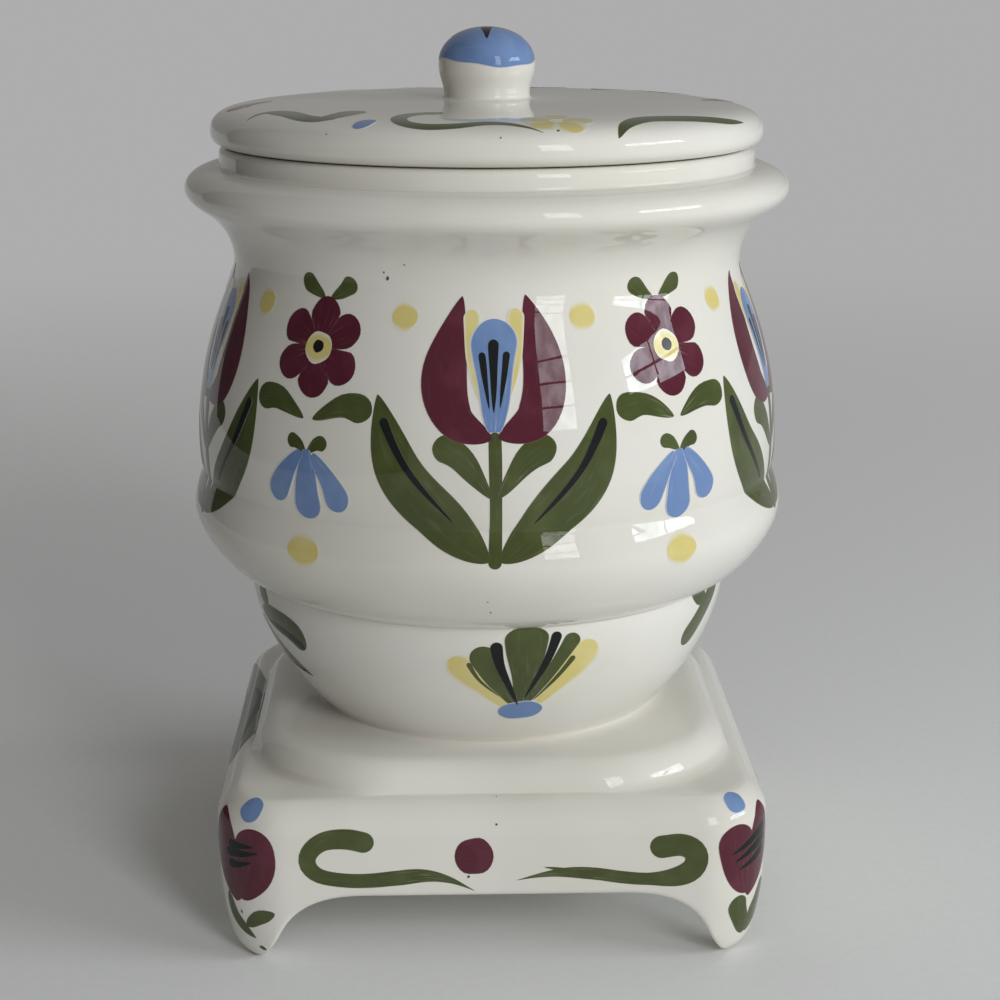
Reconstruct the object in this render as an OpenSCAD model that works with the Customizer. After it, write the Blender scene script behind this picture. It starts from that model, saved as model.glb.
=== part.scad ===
// Biscuit jar in the form of a potbelly stove: a slip-cast pot on a square footed base,
// and a loose lid with a round knob. Millimetres, +Z up, the front faces -Y.
// The origin is under the middle of the jar, on the surface that its feet stand on.

/* [Base] */
// Half the width of the square base at its widest
base_half = 89.5; // [75:0.5:100]
// Height of the base's widest line
base_wide_z = 46; // [42:1:49]
// Distance from the jar's axis to each corner's own axis
base_corner = 66; // [64:1:68]
// Height where the plinth rises out of the base
step_z = 56; // [54:1:58]
// Half the width of the plinth at its foot
plinth_half = 80; // [78:0.5:84]
// Distance from the jar's axis to each plinth corner's own axis
plinth_corner = 30; // [25:1:40]
// Height of the plinth's flat top
plinth_z = 65.5; // [63:0.5:67]
// Half the width of the flat on the plinth's top
plinth_flat = 70.5; // [68:0.5:73]

/* [Feet] */
// Half the width of the square that the four feet's pads fill
foot_half = 81; // [80:0.5:83]
// Height where a foot's outer side stops curving in towards its pad
foot_turn_z = 20; // [15:1:24]
// Height of the arch between two feet
arch_z = 25; // [21:0.5:27]
// Half the gap between two feet
arch_half = 70; // [68:0.5:71]
// Extra half gap at the ground, where a foot's inner side is rounded
foot_round = 4; // [2:0.5:5]
// How far a foot's inner side leans over each 3 mm of its height
foot_lean = 1.6; // [0.5:0.1:2.2]
// Half the width of the straight part of the arch
arch_flat = 42; // [30:1:46]
// Depth of the hollow under the floor
underside_depth = 3; // [1:0.5:5]
// Half the width of the hollow under the floor
underside_half = 62; // [40:1:66]

/* [Belly] */
// Radius where the bowl meets the plinth
bowl_foot_r = 60; // [52:0.5:63]
// How far the bowl's side swells out between its foot and the groove
bowl_swell = 13; // [9:0.5:16]
// Height of that swell above the plinth
bowl_rise = 14.5; // [10:0.5:18]
// Radius at the groove under the belly band
groove_r = 81.5; // [78:0.5:84]
// Height of the groove
groove_z = 112; // [108:0.5:114]
// Radius of the belly band at its widest
band_r = 100; // [95:0.5:104]
// Height of the band's widest line
band_z = 136; // [133:0.5:138]
// Radius at the line above the band
band_line_r = 96.8; // [94:0.1:97]
// Height of that line
band_line_z = 147.5; // [146:0.5:149]
// Radius of the belly at its widest
belly_r = 97.7; // [97.4:0.1:99]
// Height of the belly's widest line
belly_z = 160; // [156:1:166]
// How far above that line the belly stays full
belly_full = 32; // [24:1:36]

/* [Neck] */
// Radius at the waist under the collar
waist_r = 84.5; // [83:0.5:88]
// Height of the waist
waist_z = 218; // [214:0.5:222]
// Radius of the collar
collar_r = 100; // [96:0.5:104]
// Height of the collar's widest line
collar_z = 241.5; // [240:0.5:243]
// How far in from its widest line the collar's bead runs into the waist
bead_depth = 6.4; // [5:0.1:8]
// How far below its widest line the collar's bead does so
bead_drop = 7.3; // [6:0.1:9]
// Height where the bead meets the straight neck under the rim
neck_z = 248.5; // [247:0.5:250]
// Outer radius of the rim
rim_r = 88.5; // [87:0.5:90]
// Height of the rim
rim_z = 255; // [253:0.5:258]
// Thickness of the fired wall
wall = 6; // [5:0.5:7]

/* [Lid] */
// How far the lid reaches out past the rim
lid_overhang = 2.6; // [1.5:0.1:5.5]
// Width of the rounding under the lid's edge
lid_under = 4.6; // [3.6:0.1:6]
// Thickness of the lid's rounded edge
lid_edge = 12; // [10:0.5:14]
// Height of the lid's widest line above its seat
lid_wide = 4.6; // [4:0.1:6]
// Width of the rounding over the lid's edge
lid_shoulder = 8; // [5:0.5:12]
// Rise of the lid's top from that rounding to its middle
lid_crown = 2.2; // [1:0.1:5]
// Depth of the locating ring under the lid
ring_depth = 8; // [5:0.5:14]
// Thickness of the locating ring
ring_wall = 5; // [4:0.5:7]
// Clearance between the locating ring and the mouth, all round
ring_gap = 1.2; // [0.6:0.1:2]
// Gap between the lid's seat and the rim
seat_gap = 0.3; // [0.2:0.1:0.6]

/* [Knob] */
// Radius of the knob at its widest
knob_r = 15.9; // [14:0.1:18]
// Radius of the knob's neck
knob_neck_r = 14.2; // [11:0.1:15]
// Height of the knob above the middle of the lid
knob_h = 23; // [19:0.5:28]
// Height of the knob's dome
knob_dome = 11.6; // [9:0.1:13]

/* [Hidden] */
$fn = 96;

ivory = [0.93, 0.90, 0.83];
curve_steps = 8;
// How far the arches are cut down past the ground
reach = 10;
// The hollow's corners are rounder than the skirt's, which leaves the feet solid
hollow_corner = base_corner - 16;
underside_z = arch_z + underside_depth;
floor_z = underside_z + wall;
bead_flank = [collar_r - bead_depth, collar_z - bead_drop];
mouth_r = rim_r - wall;
lid_r = rim_r + lid_overhang;
lid_seat_r = lid_r - lid_under;
seat_z = rim_z + seat_gap;
ring_r = mouth_r - ring_gap;
lid_top_z = seat_z + lid_edge;
crown_z = lid_top_z + lid_crown;
knob_top_z = crown_z + knob_h;

// Points of a cubic curve from a to d, pulled towards b and c
function curve(a, b, c, d, n = curve_steps) =
    [for (i = [0:n]) let (t = i / n, u = 1 - t)
        u * u * u * a + 3 * u * u * t * b + 3 * u * t * t * c + t * t * t * d];

// All but a list's first point, so that the next curve starts where the last one ends
function rest(points) = [for (i = [1:len(points) - 1]) points[i]];

// Outside of the pot from the plinth up to the rim, as radius and height
function pot_outside() = concat(
    curve([bowl_foot_r + 6, plinth_z - 1], [bowl_foot_r + 3, plinth_z - 0.4],
          [bowl_foot_r - 1, plinth_z], [bowl_foot_r + 0.5, plinth_z + 2], 5),
    rest(curve([bowl_foot_r + 0.5, plinth_z + 2], [bowl_foot_r + bowl_swell, plinth_z + bowl_rise],
               [groove_r + 0.8, groove_z - 12], [groove_r, groove_z], 12)),
    rest(curve([groove_r, groove_z], [groove_r + 7, groove_z + 2],
               [band_r, band_z - 9], [band_r, band_z], 10)),
    rest(curve([band_r, band_z], [band_r, band_z + 3.5],
               [band_line_r + 1.6, band_line_z - 4], [band_line_r, band_line_z])),
    rest(curve([band_line_r, band_line_z], [band_line_r + 0.7, band_line_z + 3],
               [belly_r, belly_z - 6], [belly_r, belly_z], 5)),
    rest(curve([belly_r, belly_z], [belly_r, belly_z + belly_full],
               [waist_r, waist_z - 8], [waist_r, waist_z], 12)),
    rest(curve([waist_r, waist_z], [waist_r, waist_z + 8],
               bead_flank - [4.2, 2.8], bead_flank)),
    rest(curve(bead_flank, bead_flank + [3, 2],
               [collar_r, collar_z - 3.2], [collar_r, collar_z], 6)),
    rest(curve([collar_r, collar_z], [collar_r, collar_z + 5],
               [rim_r + 5, neck_z + 0.3], [rim_r + 0.6, neck_z])),
    rest(curve([rim_r + 0.6, neck_z], [rim_r + 0.1, neck_z + 0.2],
               [rim_r, neck_z + 0.6], [rim_r, neck_z + 1.2], 3)),
    curve([rim_r, rim_z - 2.5], [rim_r, rim_z - 1],
          [rim_r - 1, rim_z], [rim_r - 2.5, rim_z], 4));

// Inside of the pot from the bowl up past the rim, a wall's thickness in from each line outside
function pot_inside() = concat(
    curve([bowl_foot_r - wall, plinth_z - 3], [bowl_foot_r + bowl_swell - wall, plinth_z + bowl_rise],
          [groove_r - wall, groove_z - 8], [groove_r - wall, groove_z], 10),
    rest(curve([groove_r - wall, groove_z], [groove_r - wall + 5, groove_z + 7],
               [band_line_r - wall, band_line_z - 14], [band_line_r - wall, band_line_z])),
    rest(curve([band_line_r - wall, band_line_z], [band_line_r - wall, band_line_z + 4],
               [belly_r - wall, belly_z - 6], [belly_r - wall, belly_z], 4)),
    rest(curve([belly_r - wall, belly_z], [belly_r - wall, belly_z + belly_full],
               [waist_r - wall, waist_z - 8], [waist_r - wall, waist_z], 12)),
    rest(curve([waist_r - wall, waist_z], [waist_r - wall, waist_z + 8],
               [mouth_r, collar_z - 12], [mouth_r, collar_z - 4], 6)));

// Side of the base from its ground line up to the step, as distance and height
function base_side() = concat(
    curve([foot_half, 0], [foot_half + 4.5, 0.6], [base_half - 2.5, 8], [base_half - 0.8, foot_turn_z]),
    rest(curve([base_half - 0.8, foot_turn_z], [base_half, foot_turn_z + 8],
               [base_half, base_wide_z - 8], [base_half, base_wide_z], 4)),
    rest(curve([base_half, base_wide_z], [base_half, base_wide_z + 5],
               [plinth_half + 4, step_z], [plinth_half - 4, step_z])));

// Side of the plinth from under the step up to its flat top
function plinth_side() = concat(
    [[plinth_half, step_z - 8]],
    curve([plinth_half, step_z], [plinth_half - 0.5, step_z + 5],
          [plinth_flat + 6, plinth_z], [plinth_flat, plinth_z]));

// Solid with a square plan and round corners: the same side all the way round
module cushion(side, corner, low_z) {
    top_z = side[len(side) - 1][1];
    half = concat([[0, low_z]], side, [[0, top_z]]);
    round = concat([[0, low_z]], [for (p = side) [p[0] - corner, p[1]]], [[0, top_z]]);
    for (turn = [0:3])
        rotate([0, 0, 90 * turn]) {
            rotate([90, 0, 0]) linear_extrude(2 * corner, center = true) polygon(half);
            translate([corner, corner, 0]) rotate_extrude() polygon(round);
        }
}

// Open arch between two feet, as a bar that runs right through along Y
module arch() {
    turn_z = arch_z / 3;
    side = concat(
        curve([arch_half + foot_round, 0], [arch_half + 0.8 * foot_round, 2.2],
              [arch_half + foot_lean, turn_z - 3], [arch_half, turn_z], 6),
        rest(curve([arch_half, turn_z], [arch_half - 2 * foot_lean, turn_z + 6],
                   [arch_flat + 22, arch_z], [arch_flat, arch_z], 10)));
    left = [for (i = [len(side) - 1:-1:0]) [-side[i][0], side[i][1]]];
    outline = concat([[side[0][0], -reach]], side, left, [[-side[0][0], -reach]]);
    rotate([90, 0, 0]) linear_extrude(3 * base_half, center = true) polygon(outline);
}

module base() {
    difference() {
        union() {
            cushion(base_side(), base_corner, 0);
            cushion(plinth_side(), plinth_corner, step_z - 8);
        }
        for (turn = [0, 90]) rotate([0, 0, turn]) arch();
        translate([-underside_half, -underside_half, arch_z - 1])
            cube([2 * underside_half, 2 * underside_half, underside_depth + 1]);
    }
}

// Hollow inside the base: wide behind the skirt, narrower up inside the plinth
module base_inside() {
    skirt_half = base_half - wall - 1;
    narrow_half = plinth_half - wall - 1;
    skirt_side = [[skirt_half, floor_z], [skirt_half, base_wide_z - 1], [narrow_half, step_z - wall]];
    plinth_inside = [[narrow_half, floor_z], [narrow_half, step_z - 1], [narrow_half - wall, step_z + 2]];
    cushion(skirt_side, hollow_corner, floor_z);
    cushion(plinth_inside, plinth_corner, floor_z);
}

module jar_body() {
    color(ivory)
    difference() {
        union() {
            base();
            rotate_extrude($fn = 180)
                polygon(concat([[0, step_z]], [[bowl_foot_r + 6, step_z]], pot_outside(), [[0, rim_z]]));
        }
        rotate_extrude($fn = 180)
            polygon(concat([[0, step_z]], [[bowl_foot_r - wall, step_z]], pot_inside(),
                           [[mouth_r, rim_z + 1], [0, rim_z + 1]]));
        base_inside();
    }
}

// Lid with its knob and locating ring: one casting, hollow underneath
module lid() {
    wide_z = seat_z + lid_wide;
    top_r = lid_r - lid_shoulder;
    outside = concat(
        curve([lid_seat_r, seat_z], [lid_seat_r + 3, seat_z + 0.3], [lid_r, wide_z - 3], [lid_r, wide_z]),
        rest(curve([lid_r, wide_z], [lid_r, wide_z + 4.2],
                   [top_r + 5, lid_top_z - 1.1], [top_r, lid_top_z])),
        rest(curve([top_r, lid_top_z], [top_r - 8, lid_top_z + 1.7],
                   [top_r - 30, crown_z], [knob_neck_r + 2, crown_z], 10)),
        rest(curve([knob_neck_r + 2, crown_z], [knob_neck_r + 0.4, crown_z],
                   [knob_neck_r, crown_z + 0.5], [knob_neck_r, crown_z + 2], 4)),
        rest(curve([knob_neck_r, crown_z + 2], [knob_neck_r + 0.2, crown_z + 6],
                   [knob_r, knob_top_z - knob_dome - 5], [knob_r, knob_top_z - knob_dome])),
        rest(curve([knob_r, knob_top_z - knob_dome], [knob_r, knob_top_z - knob_dome + 7],
                   [knob_r - 7, knob_top_z], [0, knob_top_z], 12)));
    hollow_r = ring_r - ring_wall;
    hollow_z = lid_top_z - wall;
    color(ivory)
    difference() {
        rotate_extrude($fn = 180)
            polygon(concat([[0, seat_z - ring_depth]], [[ring_r - 1, seat_z - ring_depth]],
                           [[ring_r, seat_z - ring_depth + 1.5]], [[ring_r, seat_z]], outside));
        rotate_extrude($fn = 180)
            polygon(concat([[0, seat_z - ring_depth - 1], [hollow_r, seat_z - ring_depth - 1],
                            [hollow_r, hollow_z - 3]],
                           rest(curve([hollow_r, hollow_z - 3], [hollow_r, hollow_z - 1],
                                      [hollow_r - 2, hollow_z], [hollow_r - 5, hollow_z], 4)),
                           [[knob_neck_r + 4, hollow_z + 1.5], [0, hollow_z + 1.5]]));
    }
}

jar_body();
lid();
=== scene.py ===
import bpy
import bmesh
import math
from bisect import bisect_right
from mathutils import Vector, Matrix


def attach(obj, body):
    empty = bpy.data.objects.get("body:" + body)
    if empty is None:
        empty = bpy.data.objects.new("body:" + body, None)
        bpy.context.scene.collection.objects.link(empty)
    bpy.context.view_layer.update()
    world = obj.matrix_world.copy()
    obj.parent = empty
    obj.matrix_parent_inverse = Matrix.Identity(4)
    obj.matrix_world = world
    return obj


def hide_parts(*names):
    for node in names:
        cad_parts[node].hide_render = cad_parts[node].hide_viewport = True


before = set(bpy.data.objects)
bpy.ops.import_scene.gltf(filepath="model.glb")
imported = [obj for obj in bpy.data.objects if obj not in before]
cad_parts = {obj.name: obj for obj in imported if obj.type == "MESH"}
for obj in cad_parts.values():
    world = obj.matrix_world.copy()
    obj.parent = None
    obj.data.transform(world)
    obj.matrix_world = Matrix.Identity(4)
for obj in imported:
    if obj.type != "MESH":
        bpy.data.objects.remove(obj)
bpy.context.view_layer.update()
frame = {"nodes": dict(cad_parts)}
print("frame loaded:", ", ".join(frame["nodes"]))

# forms are in metres, brush strokes are laid out in millimetres on the clay
mm = 0.001
weld = 0.00001  # points nearer than this are one

# how far apart the points of each profile lie
spacing = {"walk": 0.25 * mm, "skirt": 0.0005, "shoulder": 0.0018, "pot": 0.0028, "inside": 0.006,
           "lid": 0.0022, "knob": 0.0012, "lidUnder": 0.004}


def bezier(a, b, c, d, steps=24):
    points = []
    for i in range(steps + 1):
        t = i / steps
        u = 1 - t
        points.append(tuple(u ** 3 * a[k] + 3 * u * u * t * b[k] + 3 * u * t * t * c[k] + t ** 3 * d[k]
                            for k in range(2)))
    return points


def joinCurves(*curves):
    points = []
    for curve in curves:
        points += curve if not points else curve[1:]
    return points


def flow(start, *spans):
    # smooth spans end to end: each is its two handles and where it ends
    points = [start]
    for leaving, arriving, end in spans:
        points += bezier(points[-1], leaving, arriving, end)[1:]
    return points


def off(spot, out, up=0):
    return spot[0] + out, spot[1] + up


def evenly(points, step, turn=math.radians(7), soften=0):
    # walks along a profile and leaves more points where it bends
    dense = []
    for (ax, ay), (bx, by) in zip(points, points[1:]):
        n = max(1, round(math.hypot(bx - ax, by - ay) / spacing["walk"]))
        dense += [(ax + (bx - ax) * i / n, ay + (by - ay) * i / n) for i in range(n)]
    dense.append(points[-1])
    for _ in range(soften):
        dense = [dense[0]] + [((a[0] + 2 * b[0] + c[0]) / 4, (a[1] + 2 * b[1] + c[1]) / 4)
                              for a, b, c in zip(dense, dense[1:], dense[2:])] + [dense[-1]]
    cost = [0.0]
    heading = None
    for a, b in zip(dense, dense[1:]):
        now = math.atan2(b[1] - a[1], b[0] - a[0])
        bend = 0 if heading is None else abs((now - heading + math.pi) % (2 * math.pi) - math.pi)
        heading = now
        cost.append(cost[-1] + math.hypot(b[0] - a[0], b[1] - a[1]) / step + bend / turn)
    count = max(2, round(cost[-1]))
    picked, i = [dense[0]], 0
    for k in range(1, count):
        while cost[i] < cost[-1] * k / count:
            i += 1
        picked.append(dense[i])
    return picked + [dense[-1]]


def smoothStep(t):
    t = min(1, max(0, t))
    return t * t * (3 - 2 * t)


def walkLengths(points):
    lengths = [0.0]
    for a, b in zip(points, points[1:]):
        lengths.append(lengths[-1] + math.dist(a, b))
    return lengths


def spotAt(points, marks, want):
    # where a line's rising marks reach a value, and the way the line runs there
    i = max(0, min(len(points) - 2, bisect_right(marks, want) - 1))
    t = (want - marks[i]) / max(1e-9, marks[i + 1] - marks[i])
    a, b = Vector(points[i]), Vector(points[i + 1])
    return a.lerp(b, t), (b - a).normalized()


def squareRadius(angle, half, corner):
    # from the axis to a square outline with round corners; a corner at 0 makes a circle
    a = abs((angle + math.pi / 4) % (math.pi / 2) - math.pi / 4)
    if corner > 0 and math.tan(a) <= corner / half:
        return half / math.cos(a)
    off = corner * (math.cos(a) - math.sin(a))
    return corner * (math.cos(a) + math.sin(a)) + math.sqrt(max(0, (half - corner) ** 2 - off * off))


# the square base: its sides, its stepped plinth, and the arches that leave four feet
base = {
    "half": 0.0895, "wideZ": 0.046, "corner": 0.066, "stepZ": 0.056,
    "plinthHalf": 0.080, "plinthCorner": 0.030, "plinthZ": 0.0655, "plinthFlat": 0.0705,
    "tightenFrom": 0.0022, "tightenOver": 0.0024,
    "footHalf": 0.081, "footTurnZ": 0.020, "footTuck": 0.0008, "skirtPull": 0.008,
    "archZ": 0.025, "archHalf": 0.070, "archFlat": 0.042, "archPull": 0.022,
    "footRound": 0.004, "footLean": 0.0016, "tipLift": 0.0020, "edgeR": 0.0016,
    "recess": 0.003, "recessEdge": 0.006, "recessSlope": 0.002,
}


def skirtSide():
    b = base
    foot, wide, pull = (b["footHalf"], 0), (b["half"], b["wideZ"]), b["skirtPull"]
    return flow(foot,
                (off(foot, 0.0045, 0.0006), (b["half"] - 0.0025, pull),
                 (b["half"] - b["footTuck"], b["footTurnZ"])),
                ((b["half"], b["footTurnZ"] + pull), off(wide, 0, -pull), wide))


def shoulderSide():
    # from the base's widest line over the shoulder, up the riser and in to the bowl
    b = base
    wide, step = (b["half"], b["wideZ"]), (b["plinthHalf"], b["stepZ"])
    flat = (b["plinthFlat"], b["plinthZ"])
    return flow(wide,
                (off(wide, 0, 0.005), off(step, 0.004), off(step, 0.0005)),
                (off(step, -0.0005, 0.005), off(flat, 0.006), flat))


skirtLine = evenly(skirtSide(), spacing["skirt"])
skirtHeights = [z for half, z in skirtLine]
shoulderLine = evenly(shoulderSide(), spacing["shoulder"], math.radians(9), 10)


def skirtHalf(z):
    return spotAt(skirtLine, skirtHeights, z)[0].x


def cornerAt(half, z):
    # the plinth's corners are tighter than the skirt's
    if z < base["wideZ"]:
        return base["corner"]
    mix = smoothStep((base["plinthHalf"] + base["tightenFrom"] - half) / base["tightenOver"])
    return base["corner"] + (base["plinthCorner"] - base["corner"]) * mix


# the round pot, from the bowl up to the rim
pot = {
    "footR": 0.060, "swell": 0.013, "rise": 0.0145, "grooveR": 0.0815, "grooveZ": 0.112,
    "bandR": 0.100, "bandZ": 0.136, "lineR": 0.0968, "lineZ": 0.1475, "bellyR": 0.0977, "bellyZ": 0.160,
    "full": 0.032, "waistR": 0.0845, "waistZ": 0.218, "collarR": 0.100, "collarZ": 0.2415,
    "beadDepth": 0.0064, "beadDrop": 0.0073, "neckZ": 0.2485, "rimR": 0.0885, "rimZ": 0.255, "lip": 0.0025,
    "wall": 0.006,
}


def potSpots(*names):
    return [(pot[name + "R"], pot[name + "Z"]) for name in names]


def potSide():
    p = pot
    foot = (p["footR"], base["plinthZ"])
    groove, band, line, belly, waist, collar, rim = potSpots(
        "groove", "band", "line", "belly", "waist", "collar", "rim")
    flank, neck = off(collar, -p["beadDepth"], -p["beadDrop"]), (p["rimR"], p["neckZ"])
    side = flow(off(foot, 0.006),
                (off(foot, 0.003), off(foot, -0.001, 0.0004), off(foot, 0.0005, 0.002)),
                (off(foot, p["swell"], p["rise"]), off(groove, 0.0008, -0.012), groove),
                (off(groove, 0.007, 0.002), off(band, 0, -0.009), band),
                (off(band, 0, 0.0035), off(line, 0.0016, -0.004), line),
                (off(line, 0.0007, 0.003), off(belly, 0, -0.006), belly),
                (off(belly, 0, p["full"]), off(waist, 0, -0.008), waist),
                (off(waist, 0, 0.008), off(flank, -0.0042, -0.0028), flank),
                (off(flank, 0.003, 0.002), off(collar, 0, -0.0032), collar),
                (off(collar, 0, 0.005), off(neck, 0.005, 0.0003), off(neck, 0.0006)),
                (off(neck, 0.0001, 0.0002), off(neck, 0, 0.0006), off(neck, 0, 0.0012)))
    return joinCurves(side, bezier(off(rim, 0, -p["lip"]), off(rim, 0, -0.001), off(rim, -0.001),
                                   off(rim, -p["lip"]), 10))


def potInside():
    # down from the rim past the collar, the belly and the bowl, a wall's thickness in from the outside
    p, w = pot, pot["wall"]
    foot = (p["footR"] - w, base["plinthZ"])
    mouth, waist, belly, line, groove = (
        off(spot, -w) for spot in potSpots("rim", "waist", "belly", "line", "groove"))
    lip = bezier((p["rimR"] - p["lip"], p["rimZ"]), off(mouth, 0.001), off(mouth, 0, -0.001),
                 off(mouth, 0, -0.003), 10)
    return joinCurves(lip, flow(
        off(mouth, 0, -0.003),
        ((mouth[0], p["collarZ"] - 0.012), off(waist, 0, 0.008), waist),
        (off(waist, 0, -0.008), off(belly, 0, p["full"]), belly),
        (off(belly, 0, -0.006), off(line, 0, 0.004), line),
        (off(line, 0, -0.014), off(groove, 0.005, 0.007), groove),
        (off(groove, 0, -0.008), off(foot, p["swell"], p["rise"]), off(foot, 0, -0.003))))


potLine = evenly(potSide(), spacing["pot"], math.radians(9), 5)
insideLine = evenly(potInside(), spacing["inside"], math.radians(14))

# how finely the jar's skin is laid
body = {"eighth": 40, "flatColumns": 20, "archColumns": 14, "skirtRows": 20, "edgeRows": 4, "innerRows": 3,
        "plinthRows": 3}


def archLine():
    # half of the arch's outline, from its middle out and down to the rounding of a foot's tip
    b = base
    turnZ = b["archZ"] / 3
    flat = [(b["archFlat"] * i / body["flatColumns"], b["archZ"]) for i in range(body["flatColumns"])]
    end, turn, tip = (b["archFlat"], b["archZ"]), (b["archHalf"], turnZ), (b["archHalf"], b["tipLift"])
    curve = flow(end,
                 (off(end, b["archPull"]), off(turn, -2 * b["footLean"], 0.006), turn),
                 (off(turn, b["footLean"], -0.003), off(tip, 0.7 * b["footRound"], 0.0015),
                  off(tip, b["footRound"])))
    walk = walkLengths(curve)
    count = body["archColumns"]
    return flat + [tuple(spotAt(curve, walk, walk[-1] * i / count)[0]) for i in range(count + 1)]


arch = archLine()


def outlinePoint(x, z):
    # a point of the front skirt, by how far along it is and how high; y is negative in front
    half = skirtHalf(z)
    r = half - base["corner"]
    past = max(0, x - base["corner"])
    y = half if past <= 0 else base["corner"] + math.sqrt(max(0, r * r - min(past, r) ** 2))
    return Vector((x, -y, z))


def roundPoint(angle, half, corner, z):
    d = squareRadius(angle, half, corner)
    return Vector((d * math.sin(angle), -d * math.cos(angle), z))


def edgePoint(k, lift):
    # column k of the base's lower edge, and how it rounds: a lift of 0 is the edge itself
    b = base
    last = len(arch) - 1
    if k <= last:
        x, z = arch[k]
        before, after = arch[max(0, k - 1)], arch[min(last, k + 1)]
        across = Vector((after[0] - before[0], after[1] - before[1])).normalized()
        fade = min(1, (last - k) / 4)
        return outlinePoint(x - across.y * fade * lift, z + (across.x * fade + 0.8 * (1 - fade)) * lift)
    # round a foot's tip, which comes down to its pad at the corner's middle
    t = (k - last) / (body["eighth"] - last)
    z = b["tipLift"] * (1 - t) ** 2
    outward = b["archHalf"] + b["footRound"] - b["corner"]
    start = math.asin(outward / (skirtHalf(b["tipLift"]) - b["corner"]))
    phi = start + (math.pi / 4 - start) * t
    r = skirtHalf(z + 0.8 * lift) - b["corner"]
    return Vector((b["corner"] + r * math.sin(phi), -b["corner"] - r * math.cos(phi), z + 0.8 * lift))


def skirtPoint(k, t):
    # t from the edge at 0 to the widest line at 1
    start = edgePoint(k, base["edgeR"])
    z = start.z + (base["wideZ"] - start.z) * t
    fromAngle = math.atan2(start.x, -start.y)
    toAngle = math.pi / 4 * k / body["eighth"]
    angle = fromAngle + (toAngle - fromAngle) * smoothStep(t)
    return roundPoint(angle, skirtHalf(z), base["corner"], z)


def underPoint(k, row):
    # the rounded edge, then in under the base to where two arches meet
    r = base["edgeR"]
    last = len(arch) - 1
    phi = math.pi / 4 * smoothStep((k - last) / (body["eighth"] - last))
    inward = Vector((-math.sin(phi), math.cos(phi), 0))
    if row <= body["edgeRows"]:
        turn = math.pi / 2 * row / body["edgeRows"]
        return edgePoint(k, r * (1 - math.sin(turn))) + inward * r * (1 - math.cos(turn))
    x, z = arch[min(k, last)]
    meet = max(x, base["archFlat"])
    start = edgePoint(k, 0) + inward * r
    return start.lerp(Vector((min(x, meet), -meet, z)), (row - body["edgeRows"]) / body["innerRows"])


def jarRings():
    # the skin's rings, from under the base up the outside and down the inside to the floor's middle
    b, w = base, pot["wall"]
    rings = [("under", row) for row in range(body["edgeRows"] + body["innerRows"], 0, -1)]
    rings += [("skirt", row / body["skirtRows"]) for row in range(body["skirtRows"])]
    rings += [("ring", half, cornerAt(half, z), z) for half, z in shoulderLine]
    flatEnd = potLine[0][0]
    for i in range(1, body["plinthRows"] + 1):
        t = i / (body["plinthRows"] + 1)
        half = b["plinthFlat"] + (flatEnd - b["plinthFlat"]) * t
        rings.append(("ring", half, b["plinthCorner"] * (1 - t), b["plinthZ"]))
    rings += [("ring", r, 0.0, z) for r, z in potLine + insideLine[1:]]
    floorZ, stepZ = b["archZ"] + b["recess"] + w, b["stepZ"]
    narrow, wide = b["plinthHalf"] - w - 0.001, b["half"] - w - 0.001
    tight, loose = b["plinthCorner"], b["corner"] - 0.016
    # inside the base: out under the step, down the walls and in over the floor
    rings += [("ring",) + ring for ring in (
        (0.058, 0.0, stepZ + 0.0035), (0.066, 0.012, stepZ + 0.002), (narrow - 0.002, tight, stepZ),
        (narrow, tight, stepZ - 0.003), (narrow, tight, stepZ - w), (wide, loose, b["wideZ"] - 0.002),
        (wide, loose, floorZ + 0.003), (wide - 0.003, loose - 0.002, floorZ),
        (0.060, 0.030, floorZ), (0.030, 0.0, floorZ), (0.0001, 0.0, floorZ))]
    return rings


def makeJarBody():
    # one closed skin, wrapped round the rings
    eighth, rings = body["eighth"], jarRings()
    bm = bmesh.new()
    bmesh.ops.create_grid(bm, x_segments=8 * eighth, y_segments=len(rings) - 1, size=0.5)
    for v in bm.verts:
        column = round((v.co.x + 0.5) * 8 * eighth) % (8 * eighth)
        ring = rings[round((v.co.y + 0.5) * (len(rings) - 1))]
        side, along = divmod(column + eighth, 2 * eighth)
        k = abs(along - eighth)
        if ring[0] == "under":
            p = underPoint(k, ring[1])
        elif ring[0] == "skirt":
            p = skirtPoint(k, ring[1])
        else:
            p = roundPoint(math.pi / 4 * k / eighth, *ring[1:])
        p.x *= -1 if along < eighth else 1
        v.co = Matrix.Rotation(math.pi / 2 * side, 3, "Z") @ p
    bmesh.ops.remove_doubles(bm, verts=bm.verts, dist=weld)
    # the floor's underside, closed and set up a little
    rim = [e for e in bm.edges if e.is_boundary]
    filled = bmesh.ops.contextual_create(bm, geom=rim)["faces"]
    bmesh.ops.recalc_face_normals(bm, faces=bm.faces)
    bmesh.ops.inset_region(bm, faces=filled, thickness=base["recessEdge"], depth=0.0)
    bmesh.ops.inset_region(bm, faces=filled, thickness=base["recessSlope"], depth=-base["recess"])
    return bm


def finishPiece(bm, name, riding, material, replaced=None, sharp=None):
    mesh = bpy.data.meshes.new(name)
    for f in bm.faces:
        f.smooth = True
    bm.to_mesh(mesh)
    bm.free()
    if sharp:
        mesh.set_sharp_from_angle(angle=math.radians(sharp))
    mesh.materials.append(material)
    piece = bpy.data.objects.new(name, mesh)
    bpy.context.collection.objects.link(piece)
    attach(piece, riding)
    if replaced:
        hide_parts(replaced)
    return piece


def newMaterial(name):
    material = bpy.data.materials.new(name)
    material.use_nodes = True
    nodes = material.node_tree.nodes
    return material, nodes, nodes["Principled BSDF"]


def fill(socket, value):
    # links a socket to another one, or sets it to a number or a colour
    if isinstance(value, bpy.types.NodeSocket):
        socket.id_data.links.new(value, socket)
    else:
        socket.default_value = value


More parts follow.
